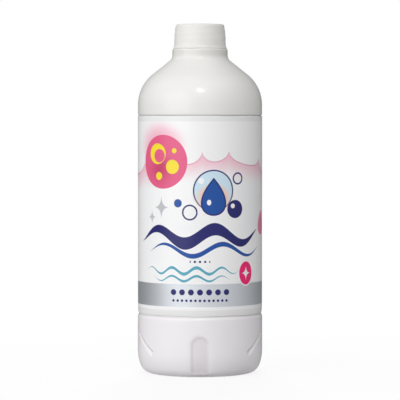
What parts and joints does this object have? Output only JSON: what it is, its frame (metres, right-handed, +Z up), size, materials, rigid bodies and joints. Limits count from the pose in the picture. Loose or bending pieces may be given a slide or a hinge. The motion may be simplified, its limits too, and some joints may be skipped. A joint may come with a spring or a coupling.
{
  "type": "hand soap refill bottle",
  "caption": "Round white refill bottle with a sloped shoulder, screw cap and printed sleeve label, which holds liquid hand soap.",
  "frame": {"origin": "centre of the foot ring, on the surface that the bottle stands on", "axes": "+Z up along the bottle's axis; -Y is the front of the label; +X to the right seen from the front"},
  "size_m": [0.064, 0.064, 0.1792],
  "materials": {
    "bottle_white": "satin white blown polyethylene",
    "cap_white": "satin off-white moulded polypropylene",
    "wad_foam": "closed-cell foam",
    "label_film": "printed shrink film, white with a silver band and coloured shapes",
    "soap": "clear pink liquid"
  },
  "bodies": {
    "bottle": {"bottle": "bottle_white", "label": "label_film", "soap_liquid": "soap"},
    "liner": {"cap_liner": "wad_foam"},
    "cap": {"screw_cap": "cap_white"}
  },
  "joints": [
    {"name": "cap_lift", "type": "slide", "parent": "bottle", "child": "liner", "axis": [0, 0, 1], "range_m": [0, 0.00397]},
    {"name": "cap_turn", "type": "hinge", "parent": "liner", "child": "cap", "pos_m": [0, 0, 0.1673], "axis": [0, 0, 1], "range_deg": [0, 450]}
  ],
  "couplings": [
    {"joint": "cap_lift", "follows": "cap_turn", "m_per_rad": 0.00050532}
  ]
}
